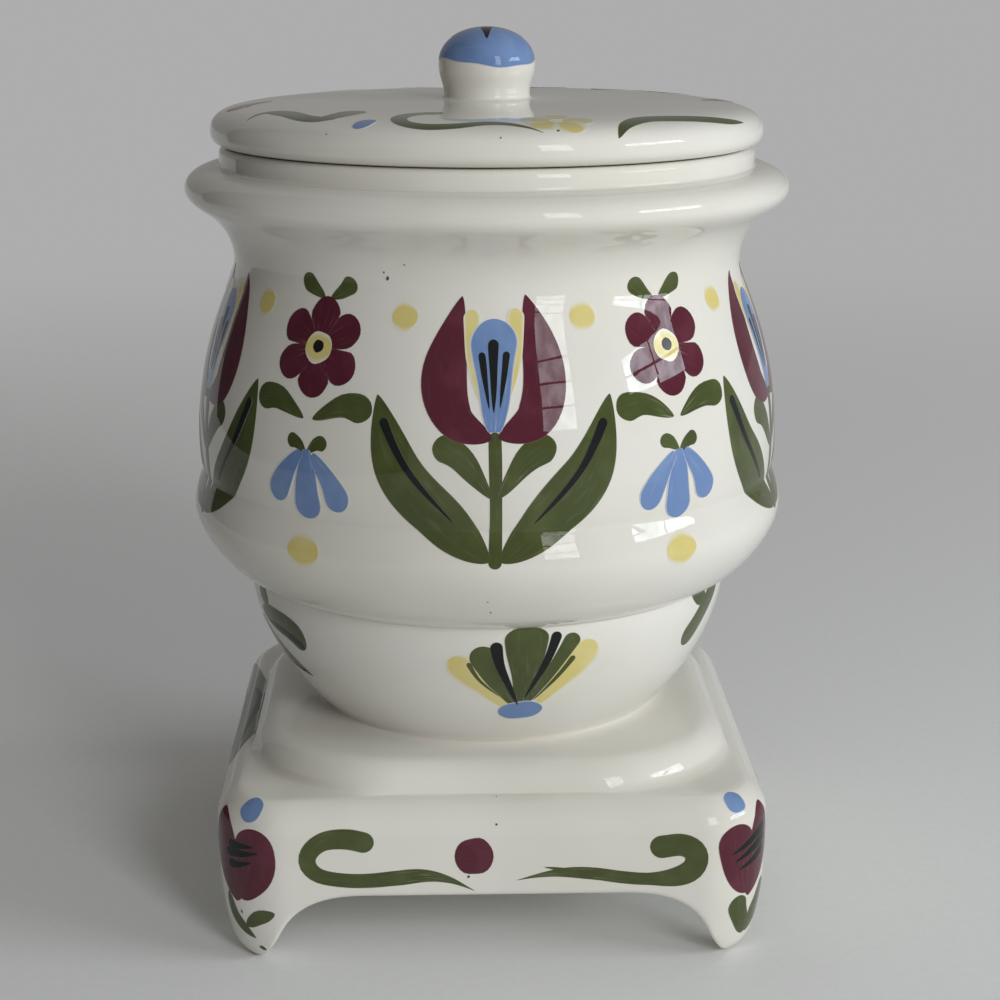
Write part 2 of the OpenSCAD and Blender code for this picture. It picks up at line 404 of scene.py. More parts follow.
def addNoise(where, scale, detail=2.0):
    noise = where.id_data.nodes.new("ShaderNodeTexNoise")
    noise.inputs["Scale"].default_value = scale
    noise.inputs["Detail"].default_value = detail
    fill(noise.inputs["Vector"], where)
    return noise.outputs["Fac"]


def addRange(value, low, high, toLow=0.0, toHigh=1.0):
    ramp = value.id_data.nodes.new("ShaderNodeMapRange")
    ramp.interpolation_type = "SMOOTHSTEP"
    for socket, number in (("From Min", low), ("From Max", high), ("To Min", toLow), ("To Max", toHigh)):
        ramp.inputs[socket].default_value = number
    fill(ramp.inputs["Value"], value)
    return ramp.outputs["Result"]


def addMath(kind, a, b=0):
    node = a.id_data.nodes.new("ShaderNodeMath")
    node.operation = kind
    fill(node.inputs[0], a)
    fill(node.inputs[1], b)
    return node.outputs[0]


def addMix(factor, a, b):
    mix = factor.id_data.nodes.new("ShaderNodeMix")
    mix.data_type = "RGBA"
    for socket, value in (("Factor", factor), ("A", a), ("B", b)):
        fill(mix.inputs[socket], value)
    return mix.outputs["Result"]


glaze = {
    "ivory": (0.735, 0.715, 0.66, 1), "cream": (0.685, 0.66, 0.585, 1),
    # the brown that the creases are painted with stands for pooled glaze and for painted shade
    "pooledAndShaded": (0.46, 0.37, 0.25, 1), "clay": (0.42, 0.31, 0.21, 1), "speck": (0.05, 0.04, 0.03, 1),
    "roughness": 0.02, "specksEvery": 0.016, "speckSize": 0.00022,
    "ripple": 0.04, "rippleDepth": 0.004, "rippleScale": 32,
    "cloudScale": 14, "poolScale": 22, "bareScale": 160, "bareUneven": 0.003,
}


def glazeColour(where):
    cloud = addRange(addNoise(where, glaze["cloudScale"], 3), 0.35, 0.75)
    return addMix(cloud, glaze["ivory"], glaze["cream"])


def gloss(shader, where, ior=1.52):
    # the fired surface: glassy, and never quite flat
    shader.inputs["Roughness"].default_value = glaze["roughness"]
    shader.inputs["IOR"].default_value = ior
    bump = where.id_data.nodes.new("ShaderNodeBump")
    bump.inputs["Strength"].default_value = glaze["ripple"]
    bump.inputs["Distance"].default_value = glaze["rippleDepth"]
    fill(bump.inputs["Height"], addNoise(where, glaze["rippleScale"], 1.0))
    fill(shader.inputs["Normal"], bump.outputs["Normal"])


def glazeMaterial():
    material, nodes, shader = newMaterial("ivoryGlaze")
    where = nodes.new("ShaderNodeTexCoord").outputs["Object"]
    colour = glazeColour(where)
    # the hollows and creases are painted warmer and darker: partly glaze that has run into them, partly
    # painted shade
    hollow = nodes.new("ShaderNodeAttribute")
    hollow.attribute_name = "hollow"
    patchy = addRange(addNoise(where, glaze["poolScale"]), 0.3, 0.7, 0.25, 1.0)
    pooledAndShaded = addMath("MULTIPLY", hollow.outputs["Fac"], patchy)
    colour = addMix(pooledAndShaded, colour, glaze["pooledAndShaded"])
    # bare clay shows where the feet stand
    height = nodes.new("ShaderNodeSeparateXYZ")
    fill(height.inputs["Vector"], where)
    uneven = addNoise(where, glaze["bareScale"])
    uneven = addMath("MULTIPLY", uneven, -glaze["bareUneven"])
    bare = addRange(addMath("ADD", height.outputs["Z"], uneven),
                    -0.0011, 0.0003, 0.8, 0.0)
    colour = addMix(bare, colour, glaze["clay"])
    # pin holes
    cells = nodes.new("ShaderNodeTexVoronoi")
    cells.inputs["Scale"].default_value = 1 / glaze["specksEvery"]
    fill(cells.inputs["Vector"], where)
    size = glaze["speckSize"] / glaze["specksEvery"]
    spot = addRange(cells.outputs["Distance"], size, size * 2, 0.8, 0.0)
    pick = nodes.new("ShaderNodeSeparateColor")
    fill(pick.inputs["Color"], cells.outputs["Color"])
    chosen = addRange(pick.outputs["Red"], 0.60, 0.95)
    colour = addMix(addMath("MULTIPLY", spot, chosen), colour, glaze["speck"])
    fill(shader.inputs["Base Color"], colour)
    gloss(shader, where)
    return material


# thin: how far a dry brush lets the glaze through
# soft and edge: how much of a stroke's edge is feathered, and how far
# ior: a dense colour mirrors the room less than the clear glaze does
paints = {
    "leafGreen": {"colour": (0.055, 0.070, 0.018, 1), "light": (0.115, 0.140, 0.045, 1), "thin": 0.28,
                  "soft": 0.02, "edge": 0.2, "ior": 1.45},
    "skyBlue": {"colour": (0.135, 0.225, 0.435, 1), "light": (0.230, 0.340, 0.545, 1), "thin": 0.30,
                "soft": 0.06, "edge": 0.8, "ior": 1.52},
    "plum": {"colour": (0.085, 0.011, 0.024, 1), "light": (0.160, 0.036, 0.062, 1), "thin": 0.10,
             "soft": 0.02, "edge": 0.15, "ior": 1.45},
    "strawYellow": {"colour": (0.640, 0.540, 0.190, 1), "light": (0.720, 0.650, 0.380, 1), "thin": 0.25,
                    "soft": 0.20, "edge": 0.85, "ior": 1.52},
    "lampBlack": {"colour": (0.010, 0.012, 0.012, 1), "light": (0.022, 0.026, 0.022, 1), "thin": 0.02,
                  "soft": 0.02, "edge": 0.3, "ior": 1.3},
    "washYellow": {"colour": (0.600, 0.510, 0.190, 1), "light": (0.700, 0.630, 0.360, 1), "thin": 0.20,
                   "soft": 0.30, "edge": 0.85, "ior": 1.52},
    "pinHole": {"colour": (0.060, 0.045, 0.035, 1), "light": (0.16, 0.13, 0.10, 1), "thin": 0.0,
                "soft": 0.10, "edge": 0.8, "ior": 1.52},
}


# hairs run along a stroke, and the brush runs dry towards its tail
brushed = {"stretch": (0.8, 4.0, 1), "hairs": (0.52, 0.78), "dry": (0.35, 1.0, 0.12, 1.0),
           "patchScale": 90, "patches": (0.40, 0.75), "patchShare": 0.35}


def paintMaterial(name):
    # an underglaze colour; the map runs u along the stroke and v from -1 to 1 across it
    paint = paints[name]
    material, nodes, shader = newMaterial(name)
    uv = nodes.new("ShaderNodeUVMap")
    uv.uv_map = "brush"
    where = nodes.new("ShaderNodeTexCoord").outputs["Object"]
    split = nodes.new("ShaderNodeSeparateXYZ")
    fill(split.inputs["Vector"], uv.outputs["UV"])
    stretch = nodes.new("ShaderNodeMapping")
    stretch.inputs["Scale"].default_value = brushed["stretch"]
    fill(stretch.inputs["Vector"], uv.outputs["UV"])
    hairs = addRange(addNoise(stretch.outputs["Vector"], 1.0, 3), *brushed["hairs"])
    patches = addRange(addNoise(where, brushed["patchScale"], 2), *brushed["patches"])
    tail = nodes.new("ShaderNodeAttribute")
    tail.attribute_name = "tail"
    dry = addRange(tail.outputs["Fac"], *brushed["dry"])
    streaks = addMath("MULTIPLY", hairs, dry)
    lighter = addMath("MAXIMUM", streaks, addMath("MULTIPLY", patches, brushed["patchShare"]))
    colour = addMix(lighter, paint["colour"], paint["light"])
    across = addMath("ABSOLUTE", split.outputs["Y"])
    edge = addRange(across, 1 - paint["soft"] * 2, 1.0, 0.0, paint["edge"])
    bare = addMath("MAXIMUM", edge, addMath("MULTIPLY", streaks, paint["thin"]))
    colour = addMix(bare, colour, glazeColour(where))
    fill(shader.inputs["Base Color"], colour)
    gloss(shader, where, paint["ior"])
    return material


def markHollows(mesh, passes, low, high):
    # an attribute that is 1 in the creases, from how far a point lies under its neighbours; the glaze is
    # painted darker there, as pooled glaze and as painted shade
    dip = [0.0] * len(mesh.vertices)
    near = [[] for _ in mesh.vertices]
    for e in mesh.edges:
        a, b = e.vertices
        near[a].append(b)
        near[b].append(a)
    for i, v in enumerate(mesh.vertices):
        for j in near[i]:
            way = mesh.vertices[j].co - v.co
            dip[i] += way.normalized().dot(v.normal) / len(near[i])
    for _ in range(passes):
        dip = [(dip[i] + sum(dip[j] for j in near[i])) / (1 + len(near[i])) for i in range(len(dip))]
    hollow = mesh.attributes.new("hollow", "FLOAT", "POINT")
    hollow.data.foreach_set("value", [smoothStep((d - low) / (high - low)) for d in dip])


ivoryGlaze = glazeMaterial()
paint = {name: paintMaterial(name) for name in paints}
print("glaze and paints mixed")

jarBody = finishPiece(makeJarBody(), "jarBody", "jar", ivoryGlaze, "jar_body")
markHollows(jarBody.data, 4, 0.02, 0.10)
print("jar body thrown:", len(jarBody.data.polygons), "faces")

# the lid, its knob and the ring under it
lid = {
    "r": 0.0911, "seatR": 0.0865, "seatZ": 0.2553, "edge": 0.012, "wide": 0.0046, "shoulder": 0.008,
    "crown": 0.0022, "ringDepth": 0.008, "ringWall": 0.005, "ringR": 0.0813, "ringEdge": 0.0015,
    "knobR": 0.0159, "neckR": 0.0142, "neckFillet": 0.002, "knobH": 0.023, "dome": 0.0116,
}


def lidTop():
    # over the lid's edge and top to the knob
    t = lid
    seat, wide = (t["seatR"], t["seatZ"]), (t["r"], t["seatZ"] + t["wide"])
    top = (t["r"] - t["shoulder"], t["seatZ"] + t["edge"])
    crown = (t["neckR"] + t["neckFillet"], top[1] + t["crown"])
    return flow(seat,
                (off(seat, 0.003, 0.0003), off(wide, 0, -0.003), wide),
                (off(wide, 0, 0.0042), off(top, 0.005, -0.0011), top),
                (off(top, -0.008, 0.0017), (top[0] - 0.030, crown[1]), crown))


def knobSide():
    t = lid
    neck = (t["neckR"], t["seatZ"] + t["edge"] + t["crown"])
    topZ = neck[1] + t["knobH"]
    wide = (t["knobR"], topZ - t["dome"])
    return flow(off(neck, t["neckFillet"]),
                (off(neck, 0.0004), off(neck, 0, 0.0005), off(neck, 0, t["neckFillet"])),
                (off(neck, 0.0002, 0.006), off(wide, 0, -0.005), wide),
                (off(wide, 0, 0.007), (t["knobR"] - 0.007, topZ), (0, topZ)))


def lidUnder():
    t = lid
    hollow = (t["ringR"] - t["ringWall"], t["seatZ"] + t["edge"] - pot["wall"])
    edge, lowZ = t["ringEdge"], t["seatZ"] - t["ringDepth"]
    inner, outer = (hollow[0], lowZ), (t["ringR"], lowZ)
    ceiling = hollow[1] + edge
    return joinCurves(
        [(0, ceiling), (t["neckR"] + 0.004, ceiling), off(hollow, -0.005)],
        bezier(off(hollow, -0.005), off(hollow, -0.002), off(hollow, 0, -0.001),
               off(hollow, 0, -0.003), 8),
        bezier(off(inner, 0, edge), off(inner, 0, 0.0005), off(inner, 0.0005), off(inner, edge), 6),
        bezier(off(outer, -edge), off(outer, -0.0005), off(outer, 0, 0.0005), off(outer, 0, edge), 6),
        [off(outer, 0, edge), (t["ringR"], t["seatZ"]), (t["seatR"], t["seatZ"])])


lidLine = evenly(lidTop(), spacing["lid"], soften=3)
knobLine = evenly(knobSide(), spacing["knob"], soften=3)


def makeLid():
    # half a section, spun round the knob
    bm = bmesh.new()
    under = evenly(lidUnder(), spacing["lidUnder"], math.radians(14), 2)
    section = under + lidLine[1:] + knobLine[1:]
    verts = [bm.verts.new((r, 0, z)) for r, z in section]
    edges = [bm.edges.new(pair) for pair in zip(verts, verts[1:])]
    bmesh.ops.spin(bm, geom=verts + edges, cent=(0, 0, 0), axis=(0, 0, 1), angle=math.pi * 2,
                   steps=256, use_merge=True)
    bmesh.ops.remove_doubles(bm, verts=bm.verts, dist=weld)
    bmesh.ops.recalc_face_normals(bm, faces=bm.faces)
    return bm


lidPiece = finishPiece(makeLid(), "lidAndKnob", "lid", ivoryGlaze, "lid")
markHollows(lidPiece.data, 3, 0.03, 0.14)
print("lid thrown:", len(lidPiece.data.polygons), "faces")


# where paint lies: each surface turns a flat x and y in mm into a point on the clay and its normal
def turnedPoint(angle, spot, way):
    out = Vector((math.sin(angle), -math.cos(angle), 0))
    return out * spot.x + Vector((0, 0, spot.y)), (out * way.y - Vector((0, 0, way.x))).normalized()


potFace = [p for p in potLine if p[1] > base["plinthZ"] + 0.002]
potHeights = [z for r, z in potFace]
potWalk = walkLengths(potFace)


def onPot(degrees, z):
    # laid flat about one spot of the pot: x round it, y up along the clay
    middle = spotAt(potFace, potHeights, z * mm)[0]
    start = spotAt(list(zip(potWalk, potWalk)), potHeights, z * mm)[0].x

    def place(x, y):
        spot, way = spotAt(potFace, potWalk, start + y * mm)
        return turnedPoint(math.radians(degrees) + x * mm / middle.x, spot, way)
    return place


def unrolled(line, start):
    # a turned top laid flat from its middle, front downwards
    marks = [start + d for d in walkLengths(line)]

    def place(x, y):
        spot, way = spotAt(line, marks, math.hypot(x, y) * mm)
        point, normal = turnedPoint(math.atan2(x, -y), spot, way)
        return point, -normal
    return place


onLid = unrolled(lidLine[::-1], lid["neckR"] + lid["neckFillet"])
onKnob = unrolled(knobLine[::-1], 0.0)

sideLine = skirtLine[:-1] + list(shoulderLine)
sideWalk = walkLengths(sideLine)
wideAt = sideWalk[len(skirtLine) - 1]


def onSide(side):
    # x along a side of the base from its middle and on round the corner, y up from its widest line
    def place(x, y):
        spot, way = spotAt(sideLine, sideWalk, wideAt + y * mm)
        corner = cornerAt(spot.x, spot.y)
        along = abs(x) * mm
        if along <= corner:
            p, out = Vector((along, -spot.x, spot.y)), Vector((0, -1, 0))
        else:
            phi = (along - corner) / (base["half"] - base["corner"])
            out = Vector((math.sin(phi), -math.cos(phi), 0))
            p = Vector((corner, -corner, spot.y)) + out * (spot.x - corner)
        turn = Matrix.Rotation(math.pi / 2 * side, 3, "Z") @ Matrix.Diagonal((-1 if x < 0 else 1, 1, 1))
        return turn @ p, turn @ (out * way.y - Vector((0, 0, way.x))).normalized()
    return place


# strokes that spread to their end, and strokes that run out at it
opening, tapering = ("petal", "fan"), ("comma", "scroll", "hook")
brush = {"lift": 0.00007, "layer": 0.00003, "thick": 0.0003, "along": 1.1, "across": 1.0, "shake": 0.25,
         "samples": 60, "uneven": 0.05, "sharp": 50}


def splinePoint(points, t):
    # a smooth line through points, t from 0 to 1
    if len(points) == 2:
        return Vector(points[0]).lerp(Vector(points[1]), t)
    spans = len(points) - 1
    i = min(int(t * spans), spans - 1)
    f = t * spans - i
    p = [Vector(points[max(0, min(spans, j))]) for j in (i - 1, i, i + 1, i + 2)]
    return 0.5 * (2 * p[1] + (p[2] - p[0]) * f + (2 * p[0] - 5 * p[1] + 4 * p[2] - p[3]) * f * f
                  + (3 * p[1] - p[0] - 3 * p[2] + p[3]) * f ** 3)


def strokeWidth(kind, t, share):
    # how wide a stroke is along its way; share is its half width by its length, which rounds its ends
    share = min(0.5, share)
    head = math.sqrt(max(0, 1 - (1 - min(1, t / share)) ** 2))
    tail = max(0, (t - share) / (1 - share))
    if kind == "oval":
        return math.sqrt(max(0, 1 - (2 * t - 1) ** 2))
    if kind == "leaf":
        return math.sin(math.pi * t ** 0.85) ** 0.75
    if kind == "comma":
        return head * (1 - tail) ** 0.6
    if kind == "pad":
        return math.sin(math.pi * t) ** 0.5
    if kind == "lobe":
        return head * math.sqrt(max(0, 1 - tail ** 2.2))
    if kind in ("scroll", "hook"):
        slim = 0.25 * smoothStep(t / 0.45) if kind == "scroll" else 0.47 * smoothStep((t - 0.28) / 0.2)
        return head * (1 - slim) * (1 - smoothStep((t - 0.70) / 0.32)) ** 0.8
    foot = math.sqrt(max(0, 1 - (1 - min(1, (1 - t) / share)) ** 2))
    if kind == "petal":
        return (0.22 + 0.78 * min(1, t / (1 - share)) ** 0.65) * foot
    if kind == "fan":
        blunt = math.sqrt(max(0, 1 - (1 - min(1, (1 - t) / share * 1.7)) ** 2))
        return (0.16 + 0.84 * t ** 0.62) * blunt
    return min(head, foot)


def strokeGrid(bm, out, surface, kind, width, points, number, lift):
    # one stroke as a strip of faces; returns each point's place along and across
    line = [splinePoint(points, i / brush["samples"]) for i in range(brush["samples"] + 1)]
    walk = walkLengths(line)
    length = walk[-1]
    columns = max(12, round(length / brush["along"]))
    rows = max(4, round(2 * width / brush["across"]))
    stations = []
    for i in range(columns + 1):
        t = 0.5 - 0.5 * math.cos(math.pi * i / columns)
        before, at, after = (spotAt(line, walk, length * min(1, max(0, near)))[0]
                             for near in (t - 0.015, t, t + 0.015))
        left = Vector((before.y - after.y, after.x - before.x)).normalized()
        half = max(0.04, width * strokeWidth(kind, t, width / length))
        stations.append((t, at, left * half))
    made = bmesh.ops.create_grid(bm, x_segments=columns, y_segments=rows, size=0.5)["verts"]
    spots = {}
    for v in made:
        t, at, left = stations[round((v.co.x + 0.5) * columns)]
        s = v.co.y * 2
        spots[v] = (t, s, length)
        # a brushed edge is never quite even
        uneven = 1 + brush["uneven"] * math.sin(9 * t + number * 2.1 + (1.3 if s > 0 else 0))
        spot = at + left * uneven * s
        place, normal = surface(spot.x, spot.y)
        v.co = place + normal * (lift - brush["thick"])
        v[out] = normal
    return spots


def thicken(bm, out):
    # gives the paint a body: a copy of each strip stands off along the clay's own normals
    copied = bmesh.ops.extrude_face_region(bm, geom=bm.faces[:], use_keep_orig=True)["geom"]
    for v in copied:
        if isinstance(v, bmesh.types.BMVert):
            v.co += v[out] * brush["thick"]
    bmesh.ops.recalc_face_normals(bm, faces=bm.faces)
    bm.verts.layers.float_vector.remove(out)


def newPaint():
    # a mesh for paint: its map, how near a stroke's tail it is, and the way out of the clay
    bm = bmesh.new()
    layers = bm.verts.layers
    return bm, bm.loops.layers.uv.new("brush"), layers.float.new("tail"), layers.float_vector.new("out")


def paintLayer(name, colour, strokes, layer=0, riding="jar"):
    # each stroke: surface, kind, half width in mm, points
    bm, uvLayer, tailLayer, out = newPaint()
    for number, (surface, kind, width, points) in enumerate(strokes):
        shakeX, shakeY = (brush["shake"] * math.sin(number * turn + layer) for turn in (1.7, 2.9))
        points = [(x + shakeX, y + shakeY) for x, y in points]
        lift = brush["lift"] + layer * brush["layer"] + number % 5 * 0.000001
        spots = strokeGrid(bm, out, surface, kind, width, points, number, lift)
        for v, (t, s, length) in spots.items():
            v[tailLayer] = 1 - t if kind in opening else t if kind in tapering else 0.4
        for f in {f for v in spots for f in v.link_faces}:
            for loop in f.loops:
                t, s, length = spots[loop.vert]
                loop[uvLayer].uv = (t * length / 10 + number * 3.7, s)
    thicken(bm, out)
    return finishPiece(bm, name, riding, paint[colour], sharp=brush["sharp"])


def moved(strokes, turnX=1, turnY=1, right=0, up=0):
    return [(kind, width, [(x * turnX + right, y * turnY + up) for x, y in points])
            for kind, width, points in strokes]


def bothWays(strokes):
    return strokes + moved(strokes, -1)


def onEach(surfaces, strokes):
    # the same painted work on several surfaces
    return [(surface,) + stroke for surface in surfaces for stroke in strokes]


# the base: scrolls and a dot along each side, hearts and leaves on the corners
sides = [onSide(i) for i in range(4)]

baseScrolls = [
    ("scroll", 3.4, [(-38.2, -2.8), (-46.5, -0.9), (-54, -1.6), (-58.4, -5.2), (-59, -9.5),
                     (-55.5, -13.2), (-48, -14.9), (-40, -15.2), (-31, -14.4), (-22, -13.6),
                     (-14, -15.2), (-6.3, -19)]),
    ("hook", 3.9, [(49.3, -5.2), (54, -4.4), (59.4, -4), (63.2, -6), (64.2, -9.6), (62, -13.2),
                   (56.5, -15.2), (48, -15.6), (40, -14.9), (32, -13.7), (22, -13.1), (14, -14),
                   (6.9, -15.6)]),
    ("comma", 0.9, [(26, -12.9), (20, -11.6), (16, -11)]),
]
cornerLeaves = [
    ("lobe", 4, [(79, -24), (81, -30.5), (85.6, -39.2)]),
    ("pad", 4.6, [(94.5, -22), (92, -31), (86.2, -39)]),
    ("pad", 2.5, [(-70, -26.8), (-76, -29.2), (-81.5, -33.2)]),
    ("leaf", 2.6, [(-89.5, -22.5), (-87, -31), (-78.6, -37.2)]),
]
# the lobe that turns away round each corner reaches higher
heartNear = bothWays([("pad", 3.6, [(84.45, -3.2), (84.45, -24.8)])]) + [
    ("lobe", 6.9, [(79, 1.5), (78.8, -6), (80.2, -14), (85.2, -23)]),
    ("lobe", 7.7, [(-77.2, 1.5), (-76.9, -6), (-77.9, -14), (-83.2, -23.4)]),
]
heartFar = bothWays([("leaf", 6.6, [(76.6, 5.8), (78.4, -1), (78.8, -8), (80.6, -16), (84.4, -25)])])
heartTicks = [
    ("comma", 1.9, [(93, -2.6), (86, -5), (75.9, -9)]),
    ("comma", 1.9, [(93, -5.6), (86, -8.2), (77.4, -11.4)]),
    ("comma", 1.7, [(92.5, -9.5), (87, -12.4), (79.4, -14.6)]),
    ("comma", 1.7, [(-87.5, -5.2), (-82, -4.8), (-76.6, -4.2)]),
    ("comma", 1.8, [(-89, -8.2), (-82, -7.5), (-75.4, -6.1)]),
    ("comma", 1.6, [(-88, -12.3), (-83, -11.5), (-77.6, -9.8)]),
]
sideDots = [("oval", 4.7, [(79.6, 4.8), (80.4, 12.6)]), ("oval", 4.8, [(-78.8, 3.6), (-80.6, 12.4)])]
cupDots = [("oval", 6.4, [(-12.6, -7), (-0.2, -7.2)])]

paintLayer("baseScrolls", "leafGreen",
           onEach(sides, baseScrolls) + onEach(sides[::2], cornerLeaves))
paintLayer("baseHearts", "plum",
           onEach(sides, cupDots) + onEach(sides[::2], heartNear) + onEach(sides[1::2], heartFar))
paintLayer("heartTicks", "lampBlack", onEach(sides[::2], heartTicks), 1)
paintLayer("baseDots", "skyBlue", onEach(sides[::2], sideDots))

# a long feather on the left side's slope
featherGreen = [("leaf", 9.2, [(38, 5.5), (14, 8.6), (-12, 8.8), (-40, 5.2), (-68, 4)])]
featherBlack = [
    ("leaf", 1.3, [(-44, 2.4), (-18, 4.6), (24, 3.6)]),
    ("leaf", 1.3, [(-28, 10.4), (-10, 13.4), (24, 9)]),
]
paintLayer("featherGreen", "leafGreen", onEach([sides[3]], featherGreen))
paintLayer("featherBlack", "lampBlack", onEach([sides[3]], featherBlack), 2)
print("base painted")

# the bowl: a fan of leaves front and back, and sprigs that hang from the band at the sides
fans = [onPot(6.8, 98), onPot(186.8, 98)]
fanYellow = [
    ("petal", 5, [(-5, -16.5), (-14.6, -5.8), (-22.8, 3.8)]),
    ("petal", 6, [(6, -15.5), (15, -2.6), (22.6, 7.8)]),
]
fanGreen = [
    ("fan", 7.2, [(0.4, -17), (0.8, -2), (0.4, 14.4)]),
    ("petal", 4.6, [(-2, -16), (-9, -3), (-14.6, 8)]),
    ("petal", 2.7, [(3, -15), (9.8, -1.5), (16.8, 11)]),
]
fanStreaks = [
    ("comma", 0.8, [(-17.6, 2), (-14, -5), (-7.5, -12)]),
    ("comma", 1, [(16.6, 3.4), (11.4, -4.6), (4.6, -14)]),
]
fanBlack = [
    ("comma", 1.9, [(-8.8, 9.6), (-7, 0), (-0.7, -16.2)]),
    ("comma", 1.7, [(10.9, 12.4), (7.6, 2), (1.6, -12.8)]),
]
fanBlue = [("oval", 4.6, [(-7.6, -19.3), (8.4, -18.6)])]
sprigLeft = [
    ("lobe", 5.4, [(21, -1.2), (12, 2.5), (2, 3.8), (-9, 3.5)]),
    ("leaf", 3.2, [(-16, -0.5), (-4, -9.5), (14.6, -16.4)]),
    ("oval", 3.4, [(-7.5, 14), (-1.5, 7.6)]),
]
sprigLeftVeins = [("comma", 1.7, [(19.5, -3), (9, 0.2), (-5, 1)])]
sprigRight = [
    ("lobe", 4.7, [(-8.6, -3.4), (-2, 3.5), (4, 9), (14, 16.5)]),
    ("leaf", 3.2, [(-8, 15.5), (3, 9.5)]),
]
sprigs = (onEach([onPot(-65, 98)], sprigLeft) + onEach([onPot(-109, 98)], moved(sprigLeft, -1))
          + onEach([onPot(60, 98)], sprigRight) + onEach([onPot(106, 98)], moved(sprigRight, -1)))
sprigVeins = onEach([onPot(-65, 98)], sprigLeftVeins) + onEach([onPot(-109, 98)], moved(sprigLeftVeins, -1))

paintLayer("fanYellow", "strawYellow", onEach(fans, fanYellow))
paintLayer("fanGreen", "leafGreen", onEach(fans, fanGreen) + sprigs, 1)
paintLayer("fanStreaks", "leafGreen", onEach(fans, fanStreaks), 2)
paintLayer("fanBlack", "lampBlack", onEach(fans, fanBlack) + sprigVeins, 3)
paintLayer("fanBlue", "skyBlue", onEach(fans, fanBlue), 3)
print("bowl painted")

# the belly: five upright tulips with long leaves, and a rosette over a bell flower between each two
tulips = [onPot(72 * i, 182) for i in range(5)]
rosettes = [onPot(36 + 72 * i, 200) for i in range(5)]
bells = [onPot(36 + 72 * i, 160) for i in range(5)]


def ringOf(count, kind, width, inner, outer):
    strokes = []
    for i in range(count):
        x, y = math.sin(2 * math.pi * i / count), math.cos(2 * math.pi * i / count)
        strokes.append((kind, width, [(x * inner, y * inner), (x * outer, y * outer)]))
    return strokes


bellyLeaves = [("even", 1.9, [(0, -46), (0.4, -24), (0, -4)])] + bothWays([
    ("leaf", 8.2, [(1.5, -44), (14, -33), (28, -17), (36, 6)]),
    ("comma", 4.6, [(18, -7), (10, -12), (1, -24)]),
])
rosetteLeaves = bothWays([
    ("comma", 4.4, [(21, -18), (12, -17), (1.5, -22)]),
    ("comma", 3, [(10.5, 21), (5.5, 17.5), (1, 15)]),
])
bellLeaves = bothWays([("comma", 2.4, [(7.5, 12), (3.5, 11), (0, 8)])])
bellyVeins = bothWays([("comma", 1.5, [(34, -1), (26, -16), (12, -32)])])
tulipPlum = bothWays([("leaf", 7, [(1, -6), (12, 0), (15.5, 15), (10.5, 37)])])
tulipYellow = bothWays([("comma", 2.8, [(7, 33), (6.8, 19), (4, 5)])])
tulipBlue = [("petal", 7.6, [(0, -4), (0, 30)])]
tulipBlack = [("comma", 1.7, [(0, 24), (0, 2)])] + bothWays([("comma", 1.2, [(4.2, 20), (1.8, 3)])])
rosettePlum = ringOf(6, "petal", 5.6, 2.6, 16)
rosetteYellow = [("oval", 5, [(-5, 0), (5, 0)])]
rosetteBlack = [("oval", 2, [(-2, 0), (2, 0)])]
bellBlue = [("petal", 5.4, [(0, 9), (0, -13)])] + bothWays([("petal", 4.4, [(2, 8), (8, 1), (13, -8.5)])])
bellYellow = [("oval", 5.5, [(-6, -23), (6, -23)])]
cornerYellow = bothWays([("oval", 4.6, [(25.5, 30), (34.5, 30)])])

paintLayer("bellyLeaves", "leafGreen",
           onEach(tulips, bellyLeaves) + onEach(rosettes, rosetteLeaves) + onEach(bells, bellLeaves))
paintLayer("bellyVeins", "lampBlack",
           onEach(tulips, bellyVeins) + onEach(rosettes, rosetteBlack), 4)
paintLayer("bellyPlum", "plum",
           onEach(tulips, tulipPlum) + onEach(rosettes, rosettePlum), 1)
paintLayer("bellyBlue", "skyBlue",
           onEach(tulips, tulipBlue) + onEach(bells, bellBlue), 3)
paintLayer("tulipYellow", "strawYellow",
           onEach(tulips, tulipYellow) + onEach(rosettes, rosetteYellow), 2)
paintLayer("tulipBlack", "lampBlack", onEach(tulips, tulipBlack), 4)
paintLayer("bellyYellow", "strawYellow",
           onEach(tulips, cornerYellow) + onEach(bells, bellYellow))
print("belly painted")

# pin holes in the front's glaze
pinHoles = [
    ("oval", 0.45, [(-8.7, -14.7), (-8.1, -13.9)]),
    ("oval", 0.40, [(0.3, 3.5), (0.9, 3.8)]),
    ("oval", 0.25, [(1, 13.2), (1.3, 13.4)]),
    ("oval", 0.5, [(-83.4, -27.6), (-82.9, -28.8)]),
    ("oval", 0.9, [(-78, -40.4), (-75.2, -41.4)]),
]
potHoles = [
    (onPot(-22, 221), "oval", 0.5, [(0, 0), (0.5, 1.4)]),
    (onPot(-22, 221), "oval", 0.3, [(-0.6, 2.4), (-0.4, 3.1)]),
    (onPot(-18, 226), "oval", 0.3, [(0, 0), (0.3, 0.4)]),
    (onPot(-1, 121), "oval", 0.4, [(0, 0), (0.5, 0.3)]),
]
paintLayer("pinHoles", "pinHole", onEach([sides[0]], pinHoles) + potHoles, 1)

